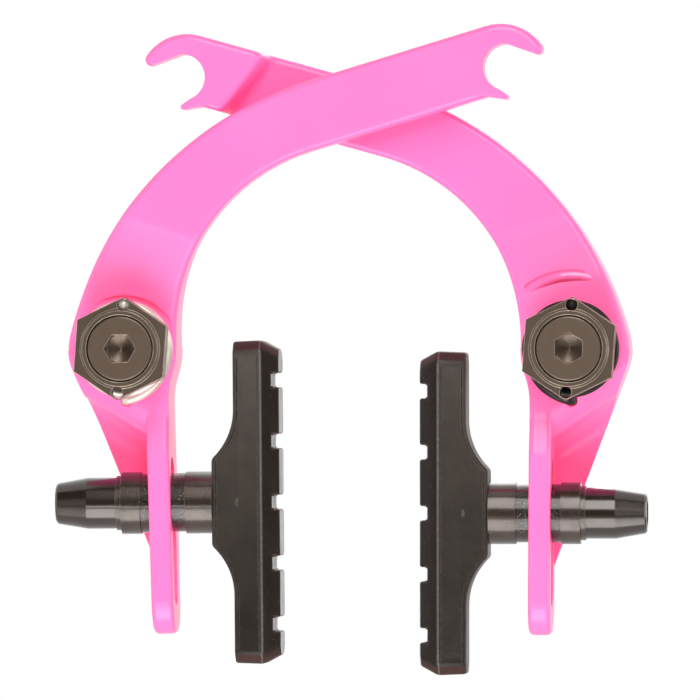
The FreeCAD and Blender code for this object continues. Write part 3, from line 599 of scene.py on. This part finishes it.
# Painted reflection: the friction face is pale grey, as if mirroring the white room.
FACE_PAINTED_REFLECTION = ((0.42, 0.41, 0.39), (0.6, 0.59, 0.57))
RUBBER_ROUGHNESS = (0.46, 0.3)
RUBBER_DEPTH = 0.05 * MM


def moulded_rubber():
    """Black rubber: a body painted lighter towards the top, a blacker block, a painted reflection on the
    friction face, specks, and edges paler with scuffs and painted highlights.
    """
    material, tree, shader = finish("moulded_rubber", IOR=1.45, Specular_IOR_Level=0.25)
    grain = effect(tree, fine_grain, Grain_Scale=2200.0, Patch_Scale=150.0)
    edge = effect(tree, edge_rub_and_highlight, Width=0.3 * MM, Breakup_Scale=1100.0, Breakup=0.7)
    specks = effect(tree, specks_of_dust_and_glint, Speck_Scale=1900.0, Patch_Scale=500.0, Amount=0.22)
    patches = grain.outputs["Patches"]
    zones = rubber_zones(tree)
    # Painted highlight along the rounded ridge.
    ridge_highlight = maths(tree, "MULTIPLY", zones["ridge"], grain.outputs["Height"])
    painted_shaded = blend_colour(tree, patches, *RUBBER_PAINTED_SHADED)
    painted_lit = blend_colour(tree, patches, *RUBBER_PAINTED_LIT)
    # Painted light: the body runs from darker at the bottom to lighter at the top.
    body = blend_colour(tree, zones["painted_top_light"], painted_shaded, painted_lit)
    both = blend_colour(tree, zones["block"], body, BLOCK_RUBBER)
    # Painted reflection of the pink arms on the end caps.
    capped = blend_colour(tree, zones["cap"], both, CAP_PAINTED_PINK_REFLECTION)
    ridge_highlighted = blend_colour(tree, ridge_highlight, capped, RIDGE_PAINTED_HIGHLIGHT)
    # Paler edges: scuffs and a painted highlight.
    scuffed_and_highlighted = blend_colour(tree, edge.outputs["Mask"], ridge_highlighted, SCUFF_AND_HIGHLIGHT_GREY)
    dusted = blend_colour(tree, specks.outputs["Mask"], scuffed_and_highlighted, SPECK_GREY)
    # Painted reflection on the friction face.
    face_reflection_painted = blend_colour(tree, patches, *FACE_PAINTED_REFLECTION)
    join(tree, blend_colour(tree, zones["face"], dusted, face_reflection_painted), shader.inputs["Base Color"])
    join(tree, spread(tree, patches, *RUBBER_ROUGHNESS), shader.inputs["Roughness"])
    bumped(tree, shader, grain.outputs["Height"], RUBBER_DEPTH, edge.outputs["Round Normal"])
    return material


rubber = moulded_rubber()
print("finish:", rubber.name)

# %% [markdown]
# ## Dressing the solids
# Every solid gets the finish of its kind by its name. Most of the brake is hard metal whose solids
# already have their true shape, so a finish is all that they need.

# %% Dress the solids
FINISH_OF = {
    "arm": paint,
    "bushing": bronze,
    "pivot_sleeve": turned_steel,
    "spring_adjuster": hex_black,
    "pivot_bolt": bolt_black,
    "inner_dome_washer": dome_black,
    "outer_dome_washer": dome_black,
    "inner_cup_washer": cup_black,
    "outer_cup_washer": cup_black,
    "flat_washer": cup_black,
    "pad_nut": nut_black,
    "pad_stud": turned_steel,
    "pad": rubber,
}
WIRE_OF = {"left": silver_wire, "right": black_wire}
for name, solid in nodes.items():
    side, piece = name.split("_", 1)
    solid.data.materials.clear()
    solid.data.materials.append(WIRE_OF[side] if piece == "spring" else FINISH_OF[piece])
print("dressed", len(nodes), "solids")

# %% [markdown]
# ## Copies of solids
# The springs have to twist, and the pads need softer edges than their solids have. They could be drawn
# afresh, but a copy keeps their place and size. A solid's mesh is loose triangles, so the doubled points
# of a copy are merged, and then its faces can be smoothed and its edges rounded.

# %% Copy a solid
MERGE_REACH = 0.001 * MM


def copied(name, piece_name):
    """A new piece with a merged copy of a solid's mesh, in the solid's place."""
    piece = bpy.data.objects.new(piece_name, nodes[name].data.copy())
    bpy.context.scene.collection.objects.link(piece)
    bpy.ops.object.select_all(action="DESELECT")
    piece.select_set(True)
    bpy.context.view_layer.objects.active = piece
    bpy.ops.mesh.customdata_custom_splitnormals_clear()
    bpy.ops.object.mode_set(mode="EDIT")
    bpy.ops.mesh.select_all(action="SELECT")
    bpy.ops.mesh.remove_doubles(threshold=MERGE_REACH)
    bpy.ops.object.mode_set(mode="OBJECT")
    return piece


# %% [markdown]
# ## Springs
# The two torsion springs are wound wire. Each has its front end in the adjuster, which stands still,
# and its tail in the arm, which swings. A copy of the solid could ride on either one, but then the
# other end would slip out of its hole. Here each copy is smoothed and left in the solid's place, on no
# body, and the solid is hidden.

# %% Copy the springs
SIDES = ("left", "right")
PIVOT_X = {"left": -41 * MM, "right": 41 * MM}
for side in SIDES:
    spring = copied(f"{side}_spring", f"{side}_wound_spring")
    bpy.ops.object.shade_smooth()
    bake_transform(spring)
    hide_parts(f"{side}_spring")
    print(spring.name, len(spring.data.polygons), "faces")

# %% [markdown]
# ## Pads
# A brake pad is moulded in one go, so all its edges are soft. The solid has sharp ones. A copy of it is
# cleaned of its small triangles first and then bevelled: the long edges round the side faces, the flared
# boss and the end chamfers all catch a thin line of light, as they do in the picture. Its front and back
# each have a sunk panel inside a narrow rim. It is made last, by insetting the flat faces twice and
# drawing the panel's ends in, where its slope is longer.

# %% Round the pads
PAD_ROUND = 0.5 * MM
PAD_SEGMENTS = 3
PAD_EDGE = math.radians(16)
PAD_FLAT = math.radians(1)
pads = {}
for side in SIDES:
    pad = copied(f"{side}_pad", f"{side}_moulded_pad")
    bpy.ops.object.mode_set(mode="EDIT")
    bpy.ops.mesh.select_all(action="SELECT")
    bpy.ops.mesh.dissolve_limited(angle_limit=PAD_FLAT)
    bpy.ops.object.mode_set(mode="OBJECT")
    soften = pad.modifiers.new("soften", "BEVEL")
    soften.width = PAD_ROUND
    soften.segments = PAD_SEGMENTS
    soften.limit_method = "ANGLE"
    soften.angle_limit = PAD_EDGE
    soften.use_clamp_overlap = False
    bpy.ops.object.modifier_apply(modifier="soften")
    pads[side] = pad
    print(pad.name, len(pad.data.polygons), "faces when rounded")


# %% Pick points
def pick_points(piece, wanted):
    """Select the points that pass a test. Leaves the piece in edit mode."""
    bpy.ops.object.mode_set(mode="EDIT")
    bpy.ops.mesh.select_all(action="DESELECT")
    bpy.ops.object.mode_set(mode="OBJECT")
    for vertex in piece.data.vertices:
        vertex.select = wanted(vertex)
    bpy.ops.object.mode_set(mode="EDIT")


# %% Sink a panel
PANEL_RIM = 0.12 * MM
PANEL_SLOPE = 0.25 * MM
PANEL_DEPTH = 0.28 * MM
PANEL_END = 0.45 * MM
PANEL_LEAST = 20 * MM**2
PANEL_FACING = 0.985


def sink_panel(pad, sign):
    """Sink the flat faces that look along y, backwards for sign 1 and forwards for -1."""
    bpy.ops.object.mode_set(mode="EDIT")
    bpy.ops.mesh.select_all(action="DESELECT")
    bpy.ops.object.mode_set(mode="OBJECT")
    areas = []
    for face in pad.data.polygons:
        if face.normal.y * sign > PANEL_FACING and face.area > PANEL_LEAST:
            face.select = True
            areas.append(round(face.area / MM**2, 1))
    bpy.ops.object.mode_set(mode="EDIT")
    bpy.ops.mesh.inset(thickness=PANEL_RIM, depth=0)
    bpy.ops.mesh.inset(thickness=PANEL_SLOPE, depth=-PANEL_DEPTH)
    bpy.ops.object.mode_set(mode="OBJECT")
    inner = {i for face in pad.data.polygons if face.select for i in face.vertices}
    heights = [pad.data.vertices[i].co.z for i in inner]
    for end, shift in ((max(heights), -PANEL_END), (min(heights), PANEL_END)):
        pick_points(pad, lambda v: v.index in inner and abs(v.co.z - end) < PANEL_END)
        bpy.ops.transform.translate(value=(0, 0, shift))
    bpy.ops.object.mode_set(mode="OBJECT")
    print(pad.name, "panel from", areas, "square mm")


# %% Finish the pads
PAD_SMOOTH = math.radians(24)
for side, pad in pads.items():
    bpy.ops.object.select_all(action="DESELECT")
    pad.select_set(True)
    bpy.context.view_layer.objects.active = pad
    sink_panel(pad, -1)
    sink_panel(pad, 1)
    bpy.ops.object.shade_smooth_by_angle(angle=PAD_SMOOTH)
    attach(pad, f"{side}_shoe")
    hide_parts(f"{side}_pad")
    print(pad.name, len(pad.data.polygons), "faces")

# %% [markdown]
# ## Bolt threads
# Seen from behind, each pivot bolt shows its thread inside the sleeve, where the frame's post will go.
# A thread could be cut into the shank, but a fine ridge wound round it reads the same: a small
# four-cornered outline is drawn beside the axis, and a screw modifier winds it along the bolt, one
# turn per millimetre.


# %% Draw a line
def drawn_line(piece_name, points):
    """A new piece that is a closed line in the plane z = 0, all selected, in edit mode."""
    bpy.ops.object.select_all(action="DESELECT")
    bpy.ops.mesh.primitive_plane_add(size=1)
    piece = bpy.context.object
    piece.name = piece_name
    bpy.ops.object.mode_set(mode="EDIT")
    bpy.ops.mesh.select_all(action="SELECT")
    bpy.ops.mesh.merge(type="CENTER")
    spot = Vector((*points[0], 0))
    bpy.ops.transform.translate(value=spot)
    for point in points[1:]:
        move = Vector((*point, 0)) - spot
        bpy.ops.mesh.extrude_region_move(TRANSFORM_OT_translate={"value": move})
        spot += move
    bpy.ops.mesh.select_all(action="SELECT")
    bpy.ops.mesh.edge_face_add()
    bpy.ops.mesh.delete(type="ONLY_FACE")
    bpy.ops.mesh.select_all(action="SELECT")
    return piece


# %% Wind the threads
THREAD_PITCH = 1.0 * MM
THREAD_TURNS = 16
THREAD_STEPS = 32
THREAD_CORE = 2.95 * MM
THREAD_CREST = 3.25 * MM
THREAD_ROOT_HALF = 0.42 * THREAD_PITCH
THREAD_CREST_HALF = 0.06 * THREAD_PITCH
THREAD_START = -17.3 * MM
THREAD_SMOOTH = math.radians(30)
THREAD_OUTLINE = (
    (THREAD_CORE, -THREAD_ROOT_HALF),
    (THREAD_CREST, -THREAD_CREST_HALF),
    (THREAD_CREST, THREAD_CREST_HALF),
    (THREAD_CORE, THREAD_ROOT_HALF),
)
for side in SIDES:
    thread = drawn_line(f"{side}_bolt_thread", THREAD_OUTLINE)
    bpy.ops.object.mode_set(mode="OBJECT")
    wind = thread.modifiers.new("wind", "SCREW")
    wind.axis = "Y"
    wind.screw_offset = THREAD_PITCH
    wind.iterations = THREAD_TURNS
    wind.steps = THREAD_STEPS
    wind.render_steps = THREAD_STEPS
    bpy.ops.object.modifier_apply(modifier="wind")
    bpy.ops.object.mode_set(mode="EDIT")
    bpy.ops.mesh.select_all(action="SELECT")
    bpy.ops.mesh.fill_holes(sides=len(THREAD_OUTLINE))
    bpy.ops.mesh.select_all(action="SELECT")
    bpy.ops.transform.translate(value=(PIVOT_X[side], THREAD_START, 0))
    bpy.ops.mesh.normals_make_consistent(inside=False)
    bpy.ops.object.mode_set(mode="OBJECT")
    bpy.ops.object.shade_smooth_by_angle(angle=THREAD_SMOOTH)
    thread.data.materials.append(bolt_black)
    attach(thread, "pivots")
    depths = [vertex.co.y for vertex in thread.data.vertices]
    print(thread.name, len(thread.data.polygons), "faces, y from",
          round(min(depths), 4), "to", round(max(depths), 4))

# %% [markdown]
# ## Ledge on the right arm
# Above its adjuster the right arm has a soft ledge, where the flat round the spring ends. It is a low
# swelling of the forging that catches the light. It could be part of the solid, but it is a fraction of
# a millimetre high, so it is laid on. A profile of five points is spun round the pivot, and its ends
# are sunk ring by ring, so that the ledge runs out into the arm.

# %% Spin the ledge
LEDGE_PROFILE = (  # distance from the pivot, and depth towards the lens
    (12.3 * MM, -12.9 * MM),
    (12.9 * MM, -13.12 * MM),
    (13.4 * MM, -13.17 * MM),
    (13.9 * MM, -13.02 * MM),
    (14.5 * MM, -12.7 * MM),
)
LEDGE_START = math.radians(64)
LEDGE_SWEEP = math.radians(68)
LEDGE_STEPS = 24
ledge = drawn_line("right_arm_ledge", LEDGE_PROFILE)
bpy.ops.transform.rotate(value=LEDGE_START, orient_axis="Y", center_override=(0, 0, 0))
bpy.ops.mesh.spin(steps=LEDGE_STEPS, angle=LEDGE_SWEEP, center=(0, 0, 0), axis=(0, 1, 0))
bpy.ops.mesh.select_all(action="SELECT")
bpy.ops.mesh.fill_holes(sides=len(LEDGE_PROFILE))
bpy.ops.mesh.select_all(action="SELECT")
bpy.ops.transform.translate(value=(PIVOT_X["right"], 0, 0))
bpy.ops.mesh.normals_make_consistent(inside=False)
bpy.ops.object.mode_set(mode="OBJECT")
print(ledge.name, len(ledge.data.polygons), "faces")

# %% Sink the ledge's ends
LEDGE_RUNOUTS = ((0, 9), (LEDGE_STEPS, 14))  # the ring at each end, and how many rings are sunk
LEDGE_SINK = 0.42 * MM


def ring_of(vertex):
    """The number of the ring that a point of the ledge is in."""
    turn = math.atan2(vertex.co.z, vertex.co.x - PIVOT_X["right"]) - LEDGE_START
    return round(turn / LEDGE_SWEEP * LEDGE_STEPS)


for end, rings in LEDGE_RUNOUTS:
    for ring in range(rings):
        pick_points(ledge, lambda v: abs(ring_of(v) - end) == ring)
        bpy.ops.transform.translate(value=(0, LEDGE_SINK * (1 - ring / rings) ** 2, 0))
bpy.ops.object.mode_set(mode="OBJECT")
bpy.ops.object.shade_smooth()
ledge.data.materials.append(thick_paint)
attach(ledge, "right_lever")
print(ledge.name, "stands out to y", round(min(v.co.y for v in ledge.data.vertices), 5))
